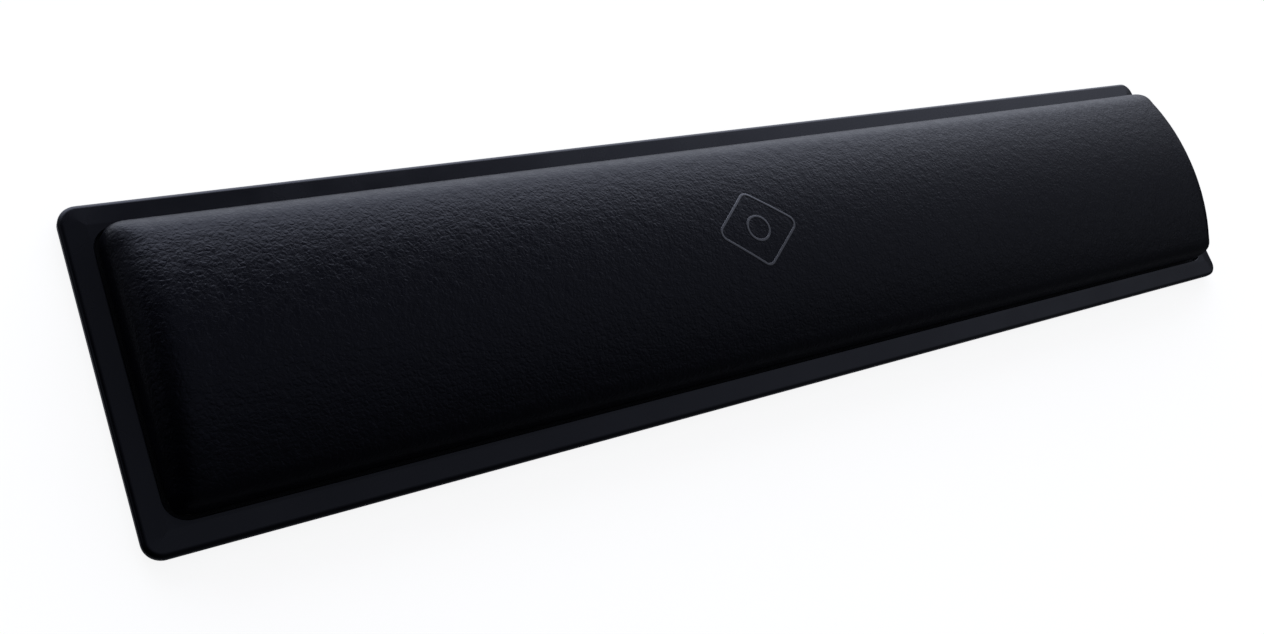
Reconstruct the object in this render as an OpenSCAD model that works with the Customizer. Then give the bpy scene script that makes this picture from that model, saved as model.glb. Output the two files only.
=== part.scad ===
// Padded wrist rest for a full-size keyboard.
// A moulded base on rubber feet carries a leatherette cushion over foam.
// X runs along the length, Y from the user's side to the keyboard, Z up.
// The origin is on the desk, under the middle of the base.

/* [Base] */
// Length of the base
base_l = 443; // [300:1:500]
// Depth of the base, from the user's side to the keyboard
base_d = 92; // [80:1:110]
// Height of the base without its feet
base_h = 4; // [4:0.1:6]
// Radius of the base's corners, seen from above
base_corner_r = 5; // [4:0.5:10]
// Radius rolled along the top outer edge
top_edge_r = 1.5; // [0.6:0.1:1.8]
// How steeply the rim falls towards its outer edge, in degrees
rim_fall = 7; // [0:0.5:8]
// Thickness of the bottom plate
plate_t = 1.6; // [1.4:0.1:2]
// Thickness of the frame's outer wall, which hides the plate's edge
skirt_t = 2; // [1.6:0.1:2.4]

/* [Cushion] */
// Width of the base left bare at each end of the cushion
end_margin = 7.2; // [6:0.1:12]
// Width of the base left bare along each side of the cushion
side_margin = 7.9; // [7:0.1:12]
// Width of the groove between the frame and the cushion
groove_w = 0.5; // [0.4:0.1:1.2]
// Height of the cushion's crown above the desk
crown_top = 23.8; // [22:0.1:28]
// Radius of the crown across the cushion
crown_r = 80; // [70:1:110]
// How far behind the middle the crown is highest
crown_y = 2.5; // [0:0.5:4]
// Radius from the crown down to the front wall
front_round_r = 8; // [6:0.5:12]
// Radius from the crown down to the back wall
back_round_r = 12; // [6:0.5:14]
// Radius from the crown down to each end wall
end_round_r = 10; // [6:0.5:12]
// Radius of the cushion's corners, seen from above
cushion_corner_r = 5.5; // [4:0.5:8]
// Thickness of the leatherette cover
cover_t = 0.9; // [0.6:0.1:1.2]
// Width of the cover turned in under the board
hem_w = 12; // [8:1:16]
// Thickness of the cushion's stiff board
board_t = 1.2; // [0.8:0.1:2]

/* [Feet] */
// Length of one foot
foot_l = 60; // [30:1:80]
// Width of one foot
foot_w = 8; // [6:0.5:10]
// How far the feet lift the base off the desk
foot_lift = 1; // [0.8:0.1:1.6]
// Depth of the recess that a foot is glued into
foot_recess = 0.5; // [0.4:0.1:0.7]
// Distance between the middles of neighbouring feet
foot_pitch = 165; // [100:1:180]
// Distance from a foot's middle line to the base's long edge
foot_inset = 13; // [11:0.5:18]

/* [Emblem] */
// Length of the outline mark along the cushion
emblem_l = 30; // [20:1:36]
// Depth of the outline mark across the cushion
emblem_d = 25; // [18:1:30]
// Position of the mark along the cushion
emblem_x = -27; // [-150:1:150]
// Width of the mark's line
emblem_line = 0.8; // [0.5:0.1:1.5]

/* [Hidden] */
$fn = 96;

base_color = "#1b1b22";
cover_color = "#13131a";
emblem_color = "#8a8c92";
foam_color = "#3a3c42";
board_color = "#c9c6bd";
tape_color = "#e6e2d6";
rubber_color = "#0c0c0f";

cut = 0.2;                   // how far a cutter runs past the face it cuts
least = 0.001;               // a straight run shorter than this is left out
low_edge_r = 0.5;            // radius along the base's bottom edge
plate_gap = 0.15;            // play round the bottom plate
lip_r = 0.3;                 // radius on the frame's inner edge
rim_flat = 0.2;              // narrowest level strip between that edge and the sloping rim
film_t = 0.1;                // thickness of the foam's bond film
foam_gap = 0.05;             // play between the foam and the cover
emblem_t = 0.15;             // thickness of the foil mark
emblem_corner_r = 3;         // radius of the lozenge's corners
emblem_ring_r = 4.5;         // radius of the ring inside the lozenge
base_top = foot_lift + base_h;
floor_z = foot_lift + plate_t;

cushion_l = base_l - 2 * end_margin;
cushion_d = base_d - 2 * side_margin;
board_z = floor_z + cover_t;
film_z = board_z + board_t;
foam_z = film_z + film_t;
opening_l = cushion_l + 2 * groove_w;
opening_d = cushion_d + 2 * groove_w;
opening_r = cushion_corner_r + groove_w;
rim_w = min(end_margin, side_margin) - groove_w - lip_r - rim_flat;
plate_l = base_l - 2 * (skirt_t + plate_gap);
plate_d = base_d - 2 * (skirt_t + plate_gap);
plate_r = base_corner_r - skirt_t - plate_gap;

peg_r = 1.2;                 // radius of a locating peg under the frame
peg_gap = 0.1;               // play round a peg in its hole
peg_inset = 4.4;             // distance from a peg to the base's edge
peg_sink = 0.3;              // how far a peg's end stays inside the plate
pegs_per_side = 5;
peg_end_inset = 26;          // distance from a row's last peg to the base's end
peg_pitch = (base_l - 2 * peg_end_inset) / (pegs_per_side - 1);
peg_points = concat(
    [for (i = [0:pegs_per_side - 1], s = [-1, 1])
        [peg_end_inset - base_l / 2 + i * peg_pitch, s * (base_d / 2 - peg_inset)]],
    [for (s = [-1, 1]) [s * (base_l / 2 - peg_inset), 0]]
);

panel_depth = 0.3;           // depth of the shallow panel between the feet
panel_margin = 21;           // distance from the panel to the base's edge
panel_r = 6;

foot_gap = 0.3;              // play round a foot in its recess
foot_edge_r = 0.4;           // radius along a foot's bottom edge
foot_tape_t = 0.2;
foot_tape_inset = 0.5;       // how far the tape stays inside the foot's outline
foot_top = foot_lift + foot_recess - foot_tape_t;
foot_y = base_d / 2 - foot_inset;

tape_w = 14;                 // width of the tape under the cushion
tape_end = 20;               // distance from the tape to the cushion's end
tape_y = 14;                 // distance from the tape's middle line to the middle

crown_z = crown_top - crown_r;
shoulder_steps = 7;          // flat facets along each shoulder's arc
crown_steps = 18;            // flat facets along the crown's arc
end_steps = 8;               // flat facets from the crown down to each end wall
crown_share = 6;             // how fast a point takes the wall's rounding instead of the crown's

// A flat outline with four round corners, or two round ends where d is 2 * r.
module rounded_rect(l, d, r) {
    square([l - 2 * r, d], center = true);
    if (d - 2 * r > least)
        square([l, d - 2 * r], center = true);
    for (sx = [-1, 1], sy = [-1, 1])
        translate([sx * (l / 2 - r), sy * (d / 2 - r)]) circle(r);
}

module rounded_block(l, d, r, z0, z1) {
    translate([0, 0, z0]) linear_extrude(z1 - z0) rounded_rect(l, d, r);
}

// Carries a flat profile round an outline. The profile's x is the distance
// from the centre of the corner's arc, and its y is the height.
module edge_loop(l, d, r) {
    for (side = [0:3]) {
        run = (side % 2 == 0 ? l : d) / 2 - r;
        reach = (side % 2 == 0 ? d : l) / 2 - r;
        rotate([0, 0, 90 * side]) {
            if (run > least)
                translate([-run, reach, 0]) rotate([90, 0, 90]) linear_extrude(2 * run) children();
            translate([run, reach, 0]) rotate_extrude(angle = 90) children();
        }
    }
}

// The outer part of a block's section, with a round bottom and top edge. Its
// top falls outwards by fall degrees, and the top edge's roll is tangent to it.
module block_section(r, z0, z1, low_r, top_r, fall) {
    roll_z = z1 - (r - top_r) * tan(fall) - top_r / cos(fall);
    rolled = [[r - top_r + top_r * sin(fall), roll_z + top_r * cos(fall)]];
    polygon(concat(
        [[0, z0], [r - low_r, z0], [r, z0 + low_r], [r, roll_z]],
        top_r > 0 ? rolled : [],
        [[0, z1]]
    ));
    translate([r - low_r, z0 + low_r]) circle(low_r);
    if (top_r > 0)
        translate([r - top_r, roll_z]) circle(top_r);
}

// A box whose top slopes like a hipped roof, from edge_z at its edges up to z1
// at a distance of shelf inside them.
module hipped_box(l, d, z0, edge_z, z1, shelf) {
    corners = [[-1, -1], [1, -1], [1, 1], [-1, 1]];
    levels = [[z0, 0], [edge_z, 0], [z1, shelf]];
    points = [for (level = levels, c = corners)
        [c.x * (l / 2 - level[1]), c.y * (d / 2 - level[1]), level[0]]];
    sides = [for (k = [0, 4], i = [0:3])
        let (j = (i + 1) % 4)
        [k + j, k + i, k + 4 + i, k + 4 + j]];
    polyhedron(points, concat([[0, 1, 2, 3]], sides, [[11, 10, 9, 8]]));
}

// A block with round corners whose bottom and top edges are rounded as well.
// The top slopes down to the edge from shelf inside the corner arcs' centres.
module moulded_block(l, d, r, z0, z1, low_r, top_r, shelf = 0, fall = 0) {
    core = [l - 2 * r, d - 2 * r];
    edge_z = z1 - shelf * tan(fall);
    edge_loop(l, d, r) block_section(r, z0, edge_z, low_r, top_r, fall);
    if (z1 - edge_z > least)
        hipped_box(core.x, core.y, z0, edge_z, z1, shelf);
    else if (core.y > least)
        translate([-core.x / 2, -core.y / 2, z0]) cube([core.x, core.y, z1 - z0]);
}

function arc_angles(from, to, steps) = [for (i = [0:steps]) from + (to - from) * i / steps];

// Height of the centre of a shoulder's arc, tangent to the crown and the wall.
function shoulder_z(r, y) = crown_z + sqrt(pow(crown_r - r, 2) - pow(y - crown_y, 2));

// Points up the front wall, over the crown and down the back wall, each with
// the direction of its outward normal: [y, z, normal y, normal z].
function arch_points(inset, z0) =
    let (
        front_y = front_round_r - cushion_d / 2,
        back_y = cushion_d / 2 - back_round_r,
        front_z = shoulder_z(front_round_r, front_y),
        back_z = shoulder_z(back_round_r, back_y),
        front_turn = atan2(front_z - crown_z, front_y - crown_y),
        back_turn = atan2(back_z - crown_z, back_y - crown_y),
        arcs = [
            [front_y, front_z, front_round_r, arc_angles(180, front_turn, shoulder_steps)],
            [crown_y, crown_z, crown_r, arc_angles(front_turn, back_turn, crown_steps)],
            [back_y, back_z, back_round_r, arc_angles(back_turn, 0, shoulder_steps)]
        ]
    )
    concat(
        [[inset - cushion_d / 2, z0, -1, 0]],
        [for (n = [0:2], i = [(n == 0 ? 0 : 1):len(arcs[n][3]) - 1])
            let (r = arcs[n][2] - inset, turn = arcs[n][3][i])
            [arcs[n][0] + r * cos(turn), arcs[n][1] + r * sin(turn), cos(turn), sin(turn)]],
        [[cushion_d / 2 - inset, z0, 1, 0]]
    );

// Places along the cushion: [x, how far the crown is drawn in, how far the
// walls are drawn in]. Both follow a quarter circle down to the end wall.
function end_stations(inset, side) =
    [for (turn = side < 0 ? arc_angles(90, 0, end_steps) : arc_angles(0, 90, end_steps))
        let (
            crown_round = end_round_r - inset,
            wall_round = cushion_corner_r - inset,
            run = max(0, wall_round - crown_round * (1 - sin(turn)))
        )
        [
            side * (cushion_l / 2 - inset - crown_round * (1 - sin(turn))),
            crown_round * (1 - cos(turn)),
            wall_round - sqrt(max(0, pow(wall_round, 2) - pow(run, 2)))
        ]];

// The cushion's closed form, drawn in by inset on every side and cut off at z0.
module cushion_form(inset, z0) {
    arch = arch_points(inset, z0);
    stations = concat(end_stations(inset, -1), end_stations(inset, 1));
    across = len(arch);
    points = [for (s = stations, p = arch)
        let (drawn_in = s[2] + (s[1] - s[2]) * pow(p[3], crown_share))
        [s[0], p[0] - p[2] * drawn_in, p[1] - p[3] * drawn_in]];
    skin = [for (i = [0:len(stations) - 2], j = [0:across - 1])
        let (a = i * across + j, b = i * across + (j + 1) % across)
        [a, b, b + across, a + across]];
    ends = [
        [for (j = [across - 1:-1:0]) j],
        [for (j = [0:across - 1]) (len(stations) - 1) * across + j]
    ];
    polyhedron(points, concat(skin, ends), convexity = 4);
}

// Ring round the cushion, with a rolled outer edge and pegs that locate the plate.
module top_frame() color(base_color) {
    difference() {
        moulded_block(
            base_l, base_d, base_corner_r, foot_lift, base_top, low_edge_r, top_edge_r,
            max(0, rim_w - base_corner_r), rim_fall
        );
        rounded_block(opening_l, opening_d, opening_r, foot_lift, base_top + cut);
        rounded_block(
            plate_l + 2 * plate_gap, plate_d + 2 * plate_gap, plate_r + plate_gap,
            foot_lift - cut, floor_z
        );
        edge_loop(opening_l + 2 * lip_r, opening_d + 2 * lip_r, opening_r + lip_r)
            translate([opening_r, base_top - lip_r]) difference() {
                translate([-cut, 0]) square([lip_r + cut, lip_r + cut]);
                translate([lip_r, 0]) circle(lip_r);
            }
    }
    for (p = peg_points)
        translate([p.x, p.y, foot_lift + peg_sink])
            cylinder(r = peg_r, h = floor_z - foot_lift - peg_sink + cut);
}

// Plate that closes the base, with a recess for each foot.
module bottom_plate() color(base_color) difference() {
    rounded_block(plate_l, plate_d, plate_r, foot_lift, floor_z);
    for (sx = [-1, 0, 1], sy = [-1, 1])
        translate([sx * foot_pitch, sy * foot_y])
            rounded_block(
                foot_l + 2 * foot_gap, foot_w + 2 * foot_gap, foot_w / 2 + foot_gap,
                foot_lift - cut, foot_lift + foot_recess
            );
    rounded_block(
        base_l - 2 * panel_margin, base_d - 2 * panel_margin, panel_r,
        foot_lift - cut, foot_lift + panel_depth
    );
    for (p = peg_points)
        translate([p.x, p.y, foot_lift - cut])
            cylinder(r = peg_r + peg_gap, h = plate_t + 2 * cut);
}

// Stiff board that the cushion is built on.
module cushion_board() color(board_color)
    rounded_block(
        cushion_l - 2 * cover_t, cushion_d - 2 * cover_t, cushion_corner_r - cover_t,
        board_z, film_z
    );

// Double-sided tape that holds the cushion to the plate. side is -1 or 1.
module cushion_tape(side) color(tape_color)
    translate([0, side * tape_y, floor_z])
        linear_extrude(cover_t) square([cushion_l - 2 * tape_end, tape_w], center = true);

// Film of adhesive between the board and the foam.
module foam_bond_film() color(tape_color)
    rounded_block(
        cushion_l - 2 * (cover_t + foam_gap), cushion_d - 2 * (cover_t + foam_gap),
        cushion_corner_r - cover_t - foam_gap, film_z, foam_z
    );

// Memory foam that fills the cover.
module foam_core() color(foam_color)
    cushion_form(cover_t + foam_gap, foam_z);

// Leatherette skin over the foam, turned in under the board as a hem.
module top_cover() color(cover_color) difference() {
    cushion_form(0, floor_z);
    cushion_form(cover_t, board_z);
    rounded_block(
        cushion_l - 2 * hem_w, cushion_d - 2 * hem_w, cushion_corner_r,
        floor_z - cut, board_z + cut
    );
}

// Points of a lozenge with round corners, drawn in by inset. Each corner turns
// from the direction of one straight side to the direction of the next.
function lozenge_points(l, d, corner_r, inset) =
    let (
        a = l / 2 - corner_r,
        b = d / 2 - corner_r,
        lean = atan2(a, b),
        r = corner_r - inset,
        steps = 8
    )
    [for (corner = [0:3], i = [0:steps])
        let (
            half_turn = corner % 2 == 0 ? lean : 90 - lean,
            angle = 90 * corner - half_turn + 2 * half_turn * i / steps,
            centre = [a * cos(90 * corner), b * sin(90 * corner)]
        )
        centre + r * [cos(angle), sin(angle)]];

// A plain lozenge outline round a plain ring.
module emblem_outline() {
    difference() {
        polygon(lozenge_points(emblem_l, emblem_d, emblem_corner_r, 0));
        polygon(lozenge_points(emblem_l, emblem_d, emblem_corner_r, emblem_line));
    }
    difference() {
        circle(emblem_ring_r);
        circle(emblem_ring_r - emblem_line);
    }
}

// Foil mark that lies on the crown and follows its curve.
module emblem() color(emblem_color) intersection() {
    translate([emblem_x, crown_y, crown_z + crown_r / 2])
        linear_extrude(crown_r) emblem_outline();
    translate([emblem_x - emblem_l, crown_y, crown_z]) rotate([0, 90, 0]) difference() {
        cylinder(r = crown_r + emblem_t, h = 2 * emblem_l);
        translate([0, 0, -cut]) cylinder(r = crown_r, h = 2 * emblem_l + 2 * cut);
    }
}

// Rubber strip. column is -1, 0 or 1 from left to right, row is -1 in front.
module foot(column, row) color(rubber_color)
    translate([column * foot_pitch, row * foot_y])
        moulded_block(foot_l, foot_w, foot_w / 2, 0, foot_top, foot_edge_r, 0);

// Adhesive between a foot and its recess.
module foot_tape(column, row) color(tape_color)
    translate([column * foot_pitch, row * foot_y])
        rounded_block(
            foot_l - 2 * foot_tape_inset, foot_w - 2 * foot_tape_inset,
            foot_w / 2 - foot_tape_inset, foot_top, foot_lift + foot_recess
        );

top_frame();
bottom_plate();
cushion_board();
cushion_tape(-1);  // cushion_tape_front
cushion_tape(1);  // cushion_tape_back
foam_bond_film();
foam_core();
top_cover();
emblem();
foot(-1, -1);  // foot_front_left
foot(0, -1);  // foot_front_middle
foot(1, -1);  // foot_front_right
foot(-1, 1);  // foot_back_left
foot(0, 1);  // foot_back_middle
foot(1, 1);  // foot_back_right
foot_tape(-1, -1);  // foot_tape_front_left
foot_tape(0, -1);  // foot_tape_front_middle
foot_tape(1, -1);  // foot_tape_front_right
foot_tape(-1, 1);  // foot_tape_back_left
foot_tape(0, 1);  // foot_tape_back_middle
foot_tape(1, 1);  // foot_tape_back_right
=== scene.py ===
"""Looks of a padded keyboard wrist rest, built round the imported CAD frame.

X runs along the rest, Y from the user to the keyboard and Z up. Lengths are in
metres; sizes written as n * MM are millimetres.
"""

import math

import bmesh
import bpy
import numpy as np
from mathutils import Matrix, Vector
from mathutils.bvhtree import BVHTree


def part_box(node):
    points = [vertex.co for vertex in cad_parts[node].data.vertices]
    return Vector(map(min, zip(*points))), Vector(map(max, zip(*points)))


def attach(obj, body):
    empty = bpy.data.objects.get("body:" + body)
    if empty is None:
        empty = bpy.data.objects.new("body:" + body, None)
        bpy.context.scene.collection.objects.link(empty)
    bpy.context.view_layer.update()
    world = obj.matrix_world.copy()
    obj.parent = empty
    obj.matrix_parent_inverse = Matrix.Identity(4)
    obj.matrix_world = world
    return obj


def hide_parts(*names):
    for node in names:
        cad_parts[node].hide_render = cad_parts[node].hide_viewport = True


MM = 0.001

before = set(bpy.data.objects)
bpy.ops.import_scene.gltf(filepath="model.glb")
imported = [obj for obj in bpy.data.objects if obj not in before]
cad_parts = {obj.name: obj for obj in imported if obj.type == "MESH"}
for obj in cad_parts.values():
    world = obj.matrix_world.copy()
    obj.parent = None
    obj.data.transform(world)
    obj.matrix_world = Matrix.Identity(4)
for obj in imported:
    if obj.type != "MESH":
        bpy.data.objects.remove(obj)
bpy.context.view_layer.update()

# ---------------------------------------------------------------- camera

CAMERA_LENS = 35.5
CAMERA_AT = (-0.27788, -0.09201, 0.31143)
CAMERA_TURN = (23.711, -27.826, -22.216)


def add_camera():
    """A wide lens close above the left end, rolled so that the rest runs up to the right."""
    data = bpy.data.cameras.new("camera")
    data.lens = CAMERA_LENS
    data.clip_start = 0.01
    data.clip_end = 60
    camera = bpy.data.objects.new("camera", data)
    camera.location = CAMERA_AT
    camera.rotation_euler = [math.radians(a) for a in CAMERA_TURN]
    bpy.context.scene.collection.objects.link(camera)
    bpy.context.scene.camera = camera


add_camera()

# ---------------------------------------------------------------- shape of the cushion

cover_low, cover_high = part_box("top_cover")
board_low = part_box("cushion_board")[0]
foam_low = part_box("foam_core")[0]
emblem_low, emblem_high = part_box("emblem")

HALF_L = (cover_high.x - cover_low.x) / 2
HALF_D = (cover_high.y - cover_low.y) / 2
COVER_T = board_low.z - cover_low.z
# The crown's arc, and the radii from the crown down to each wall.
CROWN_R = 80 * MM
CROWN_Y = 2.5 * MM
CROWN_Z = cover_high.z - CROWN_R
FRONT_R = 8 * MM
BACK_R = 12 * MM
END_R = 10 * MM
# The corners' radius, seen from above, and how fast a corner takes it below the crown.
CORNER_R = 5.5 * MM
CROWN_SHARE = 6
# Rays start this far inside the walls, and the surface on each is found by halving.
CORE_INSET = 14 * MM
RAY_REACH = 40 * MM
HALVINGS = 40
FEWEST_CELLS = 4
TINY = 1e-9


def shoulder_centre(side, r):
    """Centre of the arc from the crown down to the front wall (side -1) or back wall (side 1)."""
    y = side * (HALF_D - r)
    return y, CROWN_Z + math.sqrt((CROWN_R - r) ** 2 - (y - CROWN_Y) ** 2)


FRONT_Y, FRONT_Z = shoulder_centre(-1, FRONT_R)
BACK_Y, BACK_Z = shoulder_centre(1, BACK_R)


def cushion_distance(p, inset):
    """Signed distance from points p to the cushion's surface, drawn in by inset."""
    x, y, z = p.T
    turn = np.arctan2(z - CROWN_Z, y - CROWN_Y)
    on_front = turn > math.atan2(FRONT_Z - CROWN_Z, FRONT_Y - CROWN_Y)
    on_back = turn < math.atan2(BACK_Z - CROWN_Z, BACK_Y - CROWN_Y)
    arch = np.hypot(y - CROWN_Y, z - CROWN_Z) - CROWN_R
    up = np.sin(turn)
    for here, cy, cz, r, side in (
        (on_front, FRONT_Y, FRONT_Z, FRONT_R, -1),
        (on_back, BACK_Y, BACK_Z, BACK_R, 1),
    ):
        reach = np.hypot(y - cy, z - cz)
        above = z > cz
        arch = np.where(here, np.where(above, reach - r, side * y - HALF_D), arch)
        up = np.where(here, np.where(above, (z - cz) / np.maximum(reach, TINY), 0.0), up)
    arch = arch + inset
    end = np.abs(x) - HALF_L + inset
    blend = CORNER_R + (END_R - CORNER_R) * np.clip(up, 0, 1) ** CROWN_SHARE - inset
    rim = np.hypot(np.maximum(arch + blend, 0), np.maximum(end + blend, 0)) - blend
    return np.where((arch > -blend) & (end > -blend), rim, np.maximum(arch, end))


def cushion_points(box_points, inset):
    """Moves points of a plain box onto the cushion's surface, along rays from a smaller box."""
    core = np.array([HALF_L - CORE_INSET, HALF_D - CORE_INSET])
    start = box_points.copy()
    start[:, :2] = np.clip(start[:, :2], -core, core)
    start[:, 2] = np.minimum(start[:, 2], FRONT_Z)
    ray = box_points - start
    ray /= np.maximum(np.linalg.norm(ray, axis=1, keepdims=True), TINY)
    near, far = np.zeros(len(ray)), np.full(len(ray), RAY_REACH)
    for _ in range(HALVINGS):
        middle = (near + far) / 2
        inside = cushion_distance(start + ray * middle[:, None], inset) < 0
        near = np.where(inside, middle, near)
        far = np.where(inside, far, middle)
    return start + ray * near[:, None]


def box_skin(counts):
    """Integer corners and quads of a closed box of counts cells."""
    nx, ny, nz = counts
    index, corners, quads = {}, [], []

    def corner(*c):
        if c not in index:
            index[c] = len(corners)
            corners.append(c)
        return index[c]

    def quad(*cs):
        quads.append([corner(*c) for c in cs])

    for i in range(nx):
        for j in range(ny):
            quad((i, j, nz), (i + 1, j, nz), (i + 1, j + 1, nz), (i, j + 1, nz))
            quad((i, j, 0), (i, j + 1, 0), (i + 1, j + 1, 0), (i + 1, j, 0))
    for k in range(nz):
        for i in range(nx):
            quad((i, 0, k), (i + 1, 0, k), (i + 1, 0, k + 1), (i, 0, k + 1))
            quad((i + 1, ny, k), (i, ny, k), (i, ny, k + 1), (i + 1, ny, k + 1))
        for j in range(ny):
            quad((0, j + 1, k), (0, j, k), (0, j, k + 1), (0, j + 1, k + 1))
            quad((nx, j, k), (nx, j + 1, k), (nx, j + 1, k + 1), (nx, j, k + 1))
    return np.array(corners, float), quads


def cushion_mesh(name, cell, inset, floor_z):
    """A closed grid of even cells laid over the cushion's form, from floor_z up."""
    size = np.array([2 * HALF_L, 2 * HALF_D, cover_high.z - floor_z])
    counts = np.maximum(np.round(size / cell).astype(int), FEWEST_CELLS)
    corners, quads = box_skin(counts)
    box_points = corners / counts * size - [HALF_L, HALF_D, -floor_z]
    on_floor = corners[:, 2] == 0
    inner = on_floor & ((corners[:, :2] > 0) & (corners[:, :2] < counts[:2])).all(axis=1)
    points = cushion_points(box_points, inset)
    points[inner] = box_points[inner]
    mesh = bpy.data.meshes.new(name)
    mesh.from_pydata(points.tolist(), [], quads)
    mesh.update()
    return mesh


def add_object(mesh):
    """Links a mesh as an object of the same name and shades it smooth."""
    mesh.shade_smooth()
    obj = bpy.data.objects.new(mesh.name, mesh)
    bpy.context.scene.collection.objects.link(obj)
    return obj


# ---------------------------------------------------------------- material helpers

RANGE = ("From Min", "From Max", "To Min", "To Max")


class Nodes:
    """Short calls for building a material's node tree."""

    def __init__(self, name):
        self.material = bpy.data.materials.new(name)
        self.material.use_nodes = True
        self.tree = self.material.node_tree
        self.shader = self.tree.nodes["Principled BSDF"]
        place = self.add("ShaderNodeTexCoord")
        scale = self.add("ShaderNodeVectorMath", operation="SCALE")
        scale.inputs["Scale"].default_value = 1 / MM
        self.join(place.outputs["Object"], scale.inputs[0])
        self.place = scale.outputs[0]

    def add(self, kind, **settings):
        node = self.tree.nodes.new(kind)
        for key, value in settings.items():
            setattr(node, key, value)
        return node

    def join(self, out, into):
        self.tree.links.new(out, into)

    def fill(self, node, **values):
        for key, value in values.items():
            socket = node.inputs[key.replace("_", " ")]
            if isinstance(value, bpy.types.NodeSocket):
                self.join(value, socket)
            else:
                socket.default_value = value
        return node

    def noise(self, cell, detail=3.0, rough=0.55):
        """Noise whose features are about cell millimetres across."""
        node = self.add("ShaderNodeTexNoise")
        self.fill(node, Vector=self.place, Scale=1 / cell, Detail=detail, Roughness=rough)
        return node.outputs["Fac"]

    def ramp(self, value, low, high, out_low, out_high):
        """value from low to high becomes out_low to out_high, smoothly."""
        node = self.add("ShaderNodeMapRange", interpolation_type="SMOOTHSTEP")
        self.join(value, node.inputs["Value"])
        for key, number in zip(RANGE, (low, high, out_low, out_high)):
            node.inputs[key].default_value = number
        return node.outputs["Result"]

    def math(self, operation, a, b):
        node = self.add("ShaderNodeMath", operation=operation)
        for socket, value in zip(node.inputs, (a, b)):
            if isinstance(value, bpy.types.NodeSocket):
                self.join(value, socket)
            else:
                socket.default_value = value
        return node.outputs[0]

    def mix_colour(self, factor, a, b):
        node = self.add("ShaderNodeMix", data_type="RGBA")
        self.join(factor, node.inputs["Factor"])
        node.inputs[6].default_value = (*a, 1)
        node.inputs[7].default_value = (*b, 1)
        return node.outputs[2]

    def bump(self, height, depth, under=None):
        """A bump whose height runs from 0 to 1 over depth millimetres."""
        node = self.add("ShaderNodeBump")
        self.fill(node, Height=height, Strength=1.0, Distance=depth * MM)
        if under is not None:
            self.join(under, node.inputs["Normal"])
        return node.outputs["Normal"]


COOL_SHEEN = (0.82, 0.85, 1.0, 1)


def leatherette():
    """Near-black polyurethane leather: fine pebbled grain with creases between the pebbles, its
    colour painted darker in the creases as shade.
    """
    n = Nodes("leatherette")
    warp = n.add("ShaderNodeTexNoise")
    n.fill(warp, Vector=n.place, Scale=0.9, Detail=2.0)
    shift = n.add("ShaderNodeVectorMath", operation="MULTIPLY_ADD")
    n.join(warp.outputs["Color"], shift.inputs[0])
    shift.inputs[1].default_value = (0.8, 0.8, 0.8)
    n.join(n.place, shift.inputs[2])
    pebbles = n.add("ShaderNodeTexVoronoi", feature="DISTANCE_TO_EDGE")
    n.fill(pebbles, Vector=shift.outputs[0], Scale=1 / 1.5)
    grain = n.ramp(pebbles.outputs["Distance"], 0.0, 0.32, 0.0, 1.0)
    fine = n.noise(0.4, detail=2.0)
    height = n.math("ADD", n.math("MULTIPLY", grain, 0.8), n.math("MULTIPLY", fine, 0.25))
    mottle = n.noise(3.0, detail=4.0)
    crumple = n.ramp(n.noise(3.2, detail=3.0, rough=0.6), 0.35, 0.65, 0.0, 1.0)
    rough = n.math("ADD", n.ramp(mottle, 0.35, 0.65, 0.31, 0.38), n.math("MULTIPLY", grain, -0.05))
    # Painted shade: the colour is darker in the creases between the pebbles, where the bump sinks,
    # and also varies at random with the mottle.
    crease_shade_and_mottle = n.math("MULTIPLY", grain, mottle)
    colour = n.mix_colour(crease_shade_and_mottle, (0.0034, 0.0035, 0.0085), (0.0062, 0.0066, 0.0145))
    n.fill(
        n.shader, Base_Color=colour, Roughness=rough, Specular_IOR_Level=0.45,
        Specular_Tint=COOL_SHEEN, Normal=n.bump(height, 0.05, under=n.bump(crumple, 0.06)),
    )
    return n.material


def moulded_plastic(name, colour, rough, spark, depth, gloss):
    """Moulded black plastic whose spark texture has features spark millimetres across."""
    n = Nodes(name)
    texture = n.noise(spark, detail=3.0, rough=0.6)
    cloud = n.noise(18.0, detail=3.0)
    light = tuple(c * 1.35 for c in colour)
    n.fill(
        n.shader, Base_Color=n.mix_colour(cloud, colour, light),
        Roughness=n.ramp(cloud, 0.3, 0.7, rough - 0.03, rough + 0.04),
        IOR=1.55, Specular_IOR_Level=gloss, Specular_Tint=COOL_SHEEN,
        Normal=n.bump(texture, depth),
    )
    return n.material


def memory_foam():
    """Charcoal foam with open cells of several sizes, its colour painted darker in the cells as
    shade.
    """
    n = Nodes("memory_foam")
    cells = n.add("ShaderNodeTexVoronoi", feature="F1")
    n.fill(cells, Vector=n.place, Scale=1 / 0.7)
    pits = n.ramp(cells.outputs["Distance"], 0.15, 0.6, 0.0, 1.0)
    large = n.ramp(n.noise(1.6, detail=3.0), 0.42, 0.6, 0.0, 1.0)
    height = n.math("ADD", n.math("MULTIPLY", pits, 0.6), n.math("MULTIPLY", large, 0.4))
    # Painted shade: the colour darkens wherever the bump height sinks into a cell.
    colour = n.mix_colour(height, (0.018, 0.019, 0.023), (0.055, 0.058, 0.068))
    n.fill(
        n.shader, Base_Color=colour, Roughness=0.92, Specular_IOR_Level=0.2,
        Normal=n.bump(height, 0.25),
    )
    return n.material


def emblem_foil():
    """Grey foil, hot-pressed into the leather, with a faint brush of the grain in it."""
    n = Nodes("emblem_foil")
    grain = n.noise(0.6, detail=2.0)
    n.fill(
        n.shader, Base_Color=n.mix_colour(grain, (0.19, 0.195, 0.22), (0.26, 0.265, 0.29)),
        Metallic=1.0, Roughness=n.ramp(grain, 0.3, 0.7, 0.27, 0.36), Normal=n.bump(grain, 0.02),
    )
    return n.material


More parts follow.
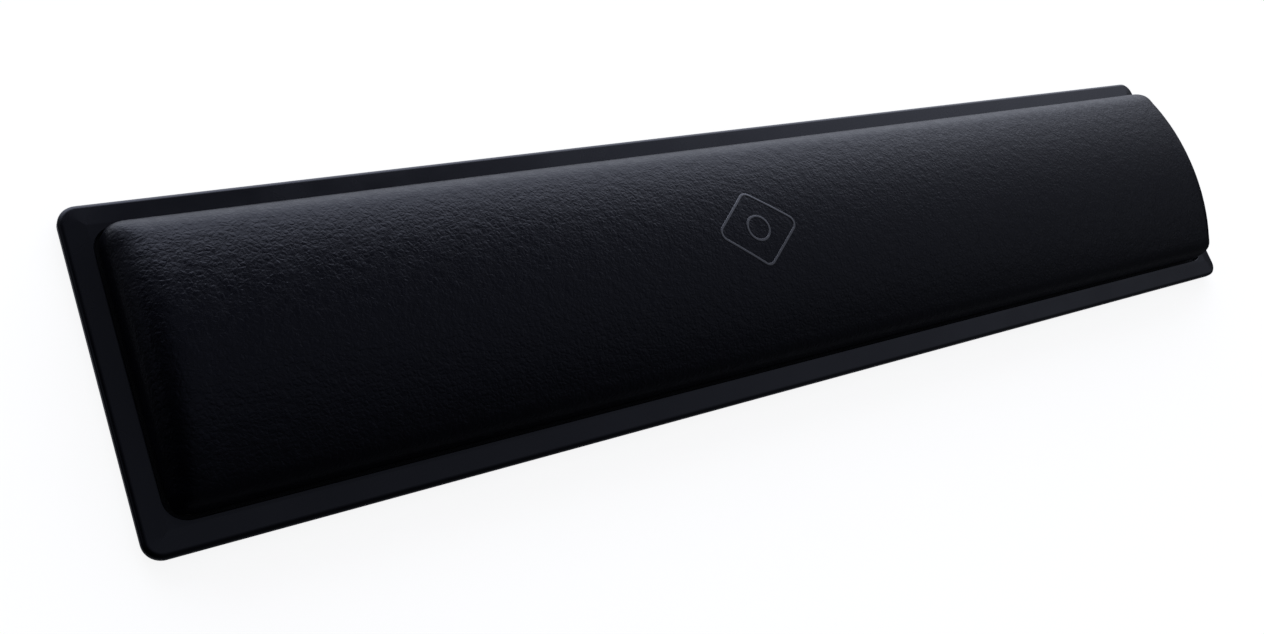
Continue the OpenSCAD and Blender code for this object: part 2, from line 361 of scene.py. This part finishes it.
def board_sheet():
    """Grey-white fibre board, flecked and a little darker where fibres lie close."""
    n = Nodes("board")
    fibres = n.add("ShaderNodeTexNoise")
    stretch = n.add("ShaderNodeVectorMath", operation="MULTIPLY")
    n.join(n.place, stretch.inputs[0])
    stretch.inputs[1].default_value = (0.25, 1.6, 1.6)
    n.fill(fibres, Vector=stretch.outputs[0], Scale=1.0, Detail=5.0)
    fibre = fibres.outputs["Fac"]
    n.fill(
        n.shader, Base_Color=n.mix_colour(fibre, (0.42, 0.4, 0.36), (0.62, 0.6, 0.56)),
        Roughness=0.82, Specular_IOR_Level=0.25, Normal=n.bump(fibre, 0.04),
    )
    return n.material


def adhesive_tape():
    """Milky double-sided tape with small bubbles trapped under it."""
    n = Nodes("adhesive_tape")
    bubbles = n.add("ShaderNodeTexVoronoi", feature="F1")
    n.fill(bubbles, Vector=n.place, Scale=1 / 4.0)
    rings = n.ramp(bubbles.outputs["Distance"], 0.04, 0.16, 0.0, 1.0)
    n.fill(
        n.shader, Base_Color=n.mix_colour(rings, (0.86, 0.84, 0.76), (0.74, 0.71, 0.62)),
        Roughness=n.ramp(n.noise(2.5), 0.3, 0.7, 0.28, 0.42), Normal=n.bump(rings, 0.03),
    )
    return n.material


def adhesive_film():
    """Dried contact adhesive: amber, brushed on in uneven strokes."""
    n = Nodes("adhesive_film")
    strokes = n.noise(6.0, detail=4.0)
    n.fill(
        n.shader, Base_Color=n.mix_colour(strokes, (0.58, 0.5, 0.3), (0.78, 0.73, 0.56)),
        Roughness=n.ramp(strokes, 0.3, 0.7, 0.25, 0.5), Normal=n.bump(strokes, 0.05),
    )
    return n.material


def foot_rubber():
    """Matt black silicone with a fine tooth, greyer where dust sits in it."""
    n = Nodes("foot_rubber")
    tooth = n.noise(0.3, detail=2.0)
    dust = n.noise(7.0, detail=5.0)
    settled = n.ramp(dust, 0.45, 0.75, 0.0, 1.0)
    n.fill(
        n.shader, Base_Color=n.mix_colour(settled, (0.008, 0.008, 0.009), (0.02, 0.02, 0.021)),
        Roughness=n.ramp(dust, 0.3, 0.7, 0.62, 0.8), Specular_IOR_Level=0.35,
        Normal=n.bump(tooth, 0.02),
    )
    return n.material


# ---------------------------------------------------------------- foam, cover and emblem

# Play between foam and cover in the CAD part, and here from the foam to the cover's inside.
FOAM_GAP = 0.05 * MM
COVER_GAP = 0.06 * MM
PAD_CELL = 3 * MM
# The foam is held along its lowest edge, and starts a little slack everywhere else.
PINNED_H = 3 * MM
SLACK = 0.25 * MM
SWELL_CAP = 0.55 * MM
SMOOTH_PASSES = 12
SWELL_FRAMES = 20
SWELL_PRESSURE = 2
SWELL_STIFFNESS = 40
HEM_W = 12 * MM
HEM_CORNER_R = 1 * MM
FOLD_R = 0.6 * MM
FLOOR_TOLERANCE = 0.01 * MM


def points_of(mesh):
    """The mesh's points, one row each."""
    flat = np.empty(3 * len(mesh.vertices))
    mesh.vertices.foreach_get("co", flat)
    return flat.reshape(-1, 3)


def normals_of(mesh):
    """The outward normal at each of the mesh's points."""
    flat = np.empty(3 * len(mesh.vertices))
    mesh.vertices.foreach_get("normal", flat)
    return flat.reshape(-1, 3)


def swell(obj, start, hold):
    """Blows the foam block up a little as a cloth. hold, from 0 to 1, holds each point back."""
    scene = bpy.context.scene
    pin = obj.vertex_groups.new(name="pin")
    for i, weight in enumerate(hold):
        pin.add([i], float(weight), "REPLACE")
    cloth = obj.modifiers.new("swell", "CLOTH")
    cloth.settings.use_pressure = True
    cloth.settings.uniform_pressure_force = SWELL_PRESSURE
    cloth.settings.vertex_group_mass = "pin"
    cloth.settings.tension_stiffness = SWELL_STIFFNESS
    cloth.settings.compression_stiffness = SWELL_STIFFNESS
    cloth.settings.effector_weights.gravity = 0
    cloth.point_cache.frame_start = 1
    cloth.point_cache.frame_end = SWELL_FRAMES
    for number in range(1, SWELL_FRAMES + 1):
        scene.frame_set(number)
    swelled = obj.evaluated_get(bpy.context.evaluated_depsgraph_get()).data
    move = points_of(swelled) - start
    obj.modifiers.remove(cloth)
    obj.vertex_groups.remove(pin)
    scene.frame_set(1)
    ends = np.array([e.vertices[:] for e in obj.data.edges])
    links = np.bincount(ends.ravel(), minlength=len(move))[:, None]
    for _ in range(SMOOTH_PASSES):
        total = np.zeros_like(move)
        np.add.at(total, ends[:, 0], move[ends[:, 1]])
        np.add.at(total, ends[:, 1], move[ends[:, 0]])
        move = total / links * (1 - hold)[:, None]
    length = np.linalg.norm(move, axis=1, keepdims=True)
    move *= SWELL_CAP / max(length.max(), SWELL_CAP)
    return start + move


def add_foam():
    """The foam block: a closed, crowned form that swells inside its cover."""
    floor_z = foam_low.z
    inset = COVER_T + FOAM_GAP
    mesh = cushion_mesh("foam_block", PAD_CELL, inset, floor_z)
    obj = add_object(mesh)
    points = points_of(mesh)
    free = np.clip((points[:, 2] - floor_z) / PINNED_H, 0, 1)
    normals = normals_of(mesh)
    start = points - normals * (SLACK * free)[:, None]
    mesh.vertices.foreach_set("co", start.ravel())
    points = swell(obj, start, 1 - free)
    mesh.vertices.foreach_set("co", points.ravel())
    mesh.update()
    divide = obj.modifiers.new("divide", "SUBSURF")
    divide.levels = 1
    shown = obj.evaluated_get(bpy.context.evaluated_depsgraph_get())
    divided = bpy.data.meshes.new_from_object(shown)
    obj.modifiers.remove(divide)
    obj.data = divided
    divided.name = "foam_block"
    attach(obj, "root")
    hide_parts("foam_core")
    return obj


def open_skin(mesh, floor_z):
    """Points, outward normals and quads of a block without its floor, and the floor's edge."""
    build = bmesh.new()
    build.from_mesh(mesh)
    top = floor_z + FLOOR_TOLERANCE
    flat = [f for f in build.faces if all(v.co.z < top for v in f.verts)]
    bmesh.ops.delete(build, geom=flat, context="FACES")
    build.normal_update()
    build.verts.index_update()
    points = np.array([v.co for v in build.verts])
    normals = np.array([v.normal for v in build.verts])
    faces = [[v.index for v in f.verts] for f in build.faces]
    after = {}
    for edge in build.edges:
        if edge.is_boundary:
            loop = edge.link_loops[0]
            after[loop.vert.index] = loop.link_loop_next.vert.index
    build.free()
    rim = [next(iter(after))]
    while after[rim[-1]] != rim[0]:
        rim.append(after[rim[-1]])
    return points, normals, faces, rim


def add_cover(foam):
    """A leatherette skin round the foam and the board, turned in underneath as a hem."""
    points, normals, faces, rim = open_skin(foam.data, foam_low.z)
    outer = points + normals * (COVER_T + FOAM_GAP)
    inner = points + normals * COVER_GAP
    side = normals[rim] * [1, 1, 0]
    side /= np.linalg.norm(side, axis=1, keepdims=True)
    wall = points[rim] * [1, 1, 0]
    floor_z, hem_z = cover_low.z, board_low.z - COVER_GAP / 4
    rings = []
    for turn in (0, 30, 60, 90):
        across = COVER_T + FOAM_GAP - FOLD_R * (1 - math.cos(math.radians(turn)))
        height = floor_z + FOLD_R * (1 - math.sin(math.radians(turn)))
        rings.append(wall + side * across + [0, 0, height])
    half = np.array([HALF_L, HALF_D]) - HEM_W - HEM_CORNER_R
    corner = np.clip(wall[:, :2], -half, half)
    reach = wall[:, :2] - corner
    reach *= HEM_CORNER_R / np.linalg.norm(reach, axis=1, keepdims=True)
    hem = np.column_stack([corner + reach, np.zeros(len(rim))])
    rings += [hem + [0, 0, floor_z], hem + [0, 0, hem_z]]
    rings.append(wall + side * COVER_GAP + [0, 0, hem_z])
    all_points = [outer, inner, *rings]
    count = len(points)
    quads = [list(f) for f in faces]
    quads += [[count + i for i in reversed(f)] for f in faces]
    rows = [list(rim)]
    rows += [[2 * count + k * len(rim) + i for i in range(len(rim))] for k in range(len(rings))]
    rows.append([count + i for i in rim])
    for upper, lower in zip(rows, rows[1:]):
        for i in range(len(rim)):
            j = (i + 1) % len(rim)
            quads.append([upper[j], upper[i], lower[i], lower[j]])
    mesh = bpy.data.meshes.new("cushion_cover")
    mesh.from_pydata(np.concatenate(all_points).tolist(), [], quads)
    mesh.update()
    obj = add_object(mesh)
    mesh.materials.append(leatherette())
    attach(obj, "root")
    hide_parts("top_cover")
    return obj


EMBLEM_L = emblem_high.x - emblem_low.x
EMBLEM_D = emblem_high.y - emblem_low.y
EMBLEM_AT = Vector(((emblem_low.x + emblem_high.x) / 2, (emblem_low.y + emblem_high.y) / 2))
EMBLEM_CORNER_R = 3 * MM
EMBLEM_RING_R = 4.5 * MM
EMBLEM_LINE = 0.8 * MM
EMBLEM_T = 0.12 * MM
EMBLEM_STEP = 0.6 * MM
HALF_CORNER_STEPS = 6
RING_STEPS = 64
# A line's section: share of the line's width from its outer edge, and share of its height.
LINE_SECTION = ((0, 0), (0, 0.8), (0.1, 1), (0.9, 1), (1, 0.8), (1, 0))


def lozenge_rim(l, d, corner_r):
    """Points and outward normals round a lozenge with round corners, in small steps."""
    a, b = l / 2 - corner_r, d / 2 - corner_r
    lean = math.atan2(a, b)
    corners = []
    for corner in range(4):
        quarter = corner * math.pi / 2
        half = lean if corner % 2 == 0 else math.pi / 2 - lean
        centre = Vector((a * math.cos(quarter), b * math.sin(quarter)))
        for i in range(2 * HALF_CORNER_STEPS + 1):
            turn = quarter + half * (i / HALF_CORNER_STEPS - 1)
            normal = Vector((math.cos(turn), math.sin(turn)))
            corners.append((centre + corner_r * normal, normal))
    rim = []
    for (place, normal), (following, _) in zip(corners, corners[1:] + corners[:1]):
        steps = max(1, math.ceil((following - place).length / EMBLEM_STEP))
        rim += [(place.lerp(following, i / steps), normal) for i in range(steps)]
    return rim


def ring_rim(r):
    """Points and outward normals round a circle."""
    turns = np.linspace(0, 2 * math.pi, RING_STEPS, endpoint=False)
    normals = [Vector((math.cos(turn), math.sin(turn))) for turn in turns]
    return [(r * normal, normal) for normal in normals]


def add_emblem(cover):
    """Thin foil lines laid on the cover, whatever its surface does there."""
    cover_tree = BVHTree.FromPolygons(
        [v.co for v in cover.data.vertices], [list(p.vertices) for p in cover.data.polygons]
    )
    above = Vector((0, 0, cover_high.z + RAY_REACH / 2))
    build = bmesh.new()
    for rim in (lozenge_rim(EMBLEM_L, EMBLEM_D, EMBLEM_CORNER_R), ring_rim(EMBLEM_RING_R)):
        sections = []
        for place, normal in rim:
            section = []
            for share, lift in LINE_SECTION:
                flat = EMBLEM_AT + place - normal * EMBLEM_LINE * share
                ground = cover_tree.ray_cast(flat.to_3d() + above, Vector((0, 0, -1)))[0]
                section.append(build.verts.new(ground + Vector((0, 0, EMBLEM_T * lift))))
            sections.append(section)
        for here, there in zip(sections, sections[1:] + sections[:1]):
            for i in range(len(here)):
                j = (i + 1) % len(here)
                build.faces.new((here[i], here[j], there[j], there[i]))
    bmesh.ops.recalc_face_normals(build, faces=build.faces)
    mesh = bpy.data.meshes.new("crown_emblem")
    build.to_mesh(mesh)
    build.free()
    obj = add_object(mesh)
    mesh.materials.append(emblem_foil())
    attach(obj, "root")
    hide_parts("emblem")
    return obj


foam = add_foam()
foam.data.materials.append(memory_foam())
cover = add_cover(foam)
add_emblem(cover)

# ---------------------------------------------------------------- carried-over pieces


def dress(material, *names):
    """Gives carried-over CAD nodes a material."""
    for name in names:
        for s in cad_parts[name].material_slots:
            s.material = material


COLUMNS = ("left", "middle", "right")
ROWS = ("front", "back")
FEET = [f"foot_{row}_{column}" for row in ROWS for column in COLUMNS]
FOOT_TAPES = [f"foot_tape_{row}_{column}" for row in ROWS for column in COLUMNS]

satin = moulded_plastic(
    "base_plastic", (0.0028, 0.0029, 0.0064), rough=0.25, spark=0.35, depth=0.005, gloss=0.75
)
matt = moulded_plastic(
    "plate_plastic", (0.006, 0.006, 0.0075), rough=0.55, spark=0.5, depth=0.03, gloss=0.5
)
dress(satin, "top_frame")
dress(matt, "bottom_plate")
dress(board_sheet(), "cushion_board")
dress(adhesive_tape(), "cushion_tape_front", "cushion_tape_back", *FOOT_TAPES)
dress(adhesive_film(), "foam_bond_film")
dress(foot_rubber(), *FEET)

# ---------------------------------------------------------------- floor and light

FLOOR_R = 22
FLOOR_GLOW = 0.88


def add_floor():
    """A pale lit floor. It stays out of the object's reflections, as a cut-out background does."""
    mesh = bpy.data.meshes.new("floor")
    build = bmesh.new()
    bmesh.ops.create_circle(build, cap_ends=True, segments=96, radius=FLOOR_R)
    build.to_mesh(mesh)
    build.free()
    floor = add_object(mesh)
    floor.visible_glossy = False
    floor.visible_diffuse = False
    n = Nodes("floor")
    n.fill(n.shader, Base_Color=(0.85, 0.85, 0.85, 1), Roughness=0.9, Specular_IOR_Level=0.1)
    n.fill(n.shader, Emission_Color=(1, 1, 1, 1), Emission_Strength=FLOOR_GLOW)
    mesh.materials.append(n.material)


# How bright the studio is round the rest's long axis, above its left end and
# above its right end: 0 degrees is level behind the rest, 90 is overhead and
# 180 is level in front of it.
STUDIO = (
    (-180, 0.02, 0.04), (-90, 0.06, 0.1), (-45, 0.4, 0.45), (-14, 1.35, 1.05),
    (28, 1.7, 1.25), (36, 0.5, 0.95), (42, 0.13, 0.75), (50, 0.065, 0.64), (60, 0.055, 0.45),
    (75, 0.1, 0.31), (95, 0.15, 0.27), (112, 0.06, 0.27), (140, 0.02, 0.1), (180, 0.02, 0.04),
)
STUDIO_TINT = (0.84, 0.88, 1.0)
# Where, from -1 at the left to 1 at the right, the left end's light gives way to the right's.
STUDIO_BLEND = (0.38, 0.85)
# The same light's share towards each end: -1 is straight to the left, 1 to the right.
STUDIO_ENDS = (
    (-1, 0.06), (-0.75, 0.06), (-0.5, 0.3), (-0.2, 0.8), (-0.07, 1.0), (0.8, 1.0), (0.9, 0.4),
    (1, 0.05),
)


def add_world():
    """A studio with a long soft light low behind the rest, and little light in front of it."""
    world = bpy.data.worlds.new("studio")
    world.use_nodes = True
    tree = world.node_tree

    def link(out, into):
        tree.links.new(out, into)

    def share(value, low, high, out_low=0.0, out_high=1.0):
        node = tree.nodes.new("ShaderNodeMapRange")
        link(value, node.inputs["Value"])
        for key, number in zip(RANGE, (low, high, out_low, out_high)):
            node.inputs[key].default_value = number
        return node.outputs["Result"]

    def ramp(value, stops):
        node = tree.nodes.new("ShaderNodeValToRGB")
        while len(node.color_ramp.elements) < len(stops):
            node.color_ramp.elements.new(0.5)
        for element, (position, colour) in zip(node.color_ramp.elements, stops):
            element.position = position
            element.color = (*colour, 1)
        link(value, node.inputs["Fac"])
        return node.outputs["Color"]

    place = tree.nodes.new("ShaderNodeTexCoord")
    split = tree.nodes.new("ShaderNodeSeparateXYZ")
    link(place.outputs["Generated"], split.inputs[0])
    turn = tree.nodes.new("ShaderNodeMath")
    turn.operation = "ARCTAN2"
    link(split.outputs["Z"], turn.inputs[0])
    link(split.outputs["Y"], turn.inputs[1])
    around = share(turn.outputs[0], -math.pi, math.pi)
    mix = tree.nodes.new("ShaderNodeMix")
    mix.data_type = "RGBA"
    link(share(split.outputs["X"], *STUDIO_BLEND), mix.inputs["Factor"])
    for side in (1, 2):
        stops = [
            ((row[0] + 180) / 360, [row[side] * tint for tint in STUDIO_TINT]) for row in STUDIO
        ]
        link(ramp(around, stops), mix.inputs[5 + side])
    end_stops = [((x + 1) / 2, [level] * 3) for x, level in STUDIO_ENDS]
    ends = ramp(share(split.outputs["X"], -1, 1), end_stops)
    back = tree.nodes["Background"]
    link(mix.outputs[2], back.inputs["Color"])
    link(ends, back.inputs["Strength"])
    bpy.context.scene.world = world


add_floor()
add_world()
bpy.context.scene.view_settings.view_transform = "Standard"
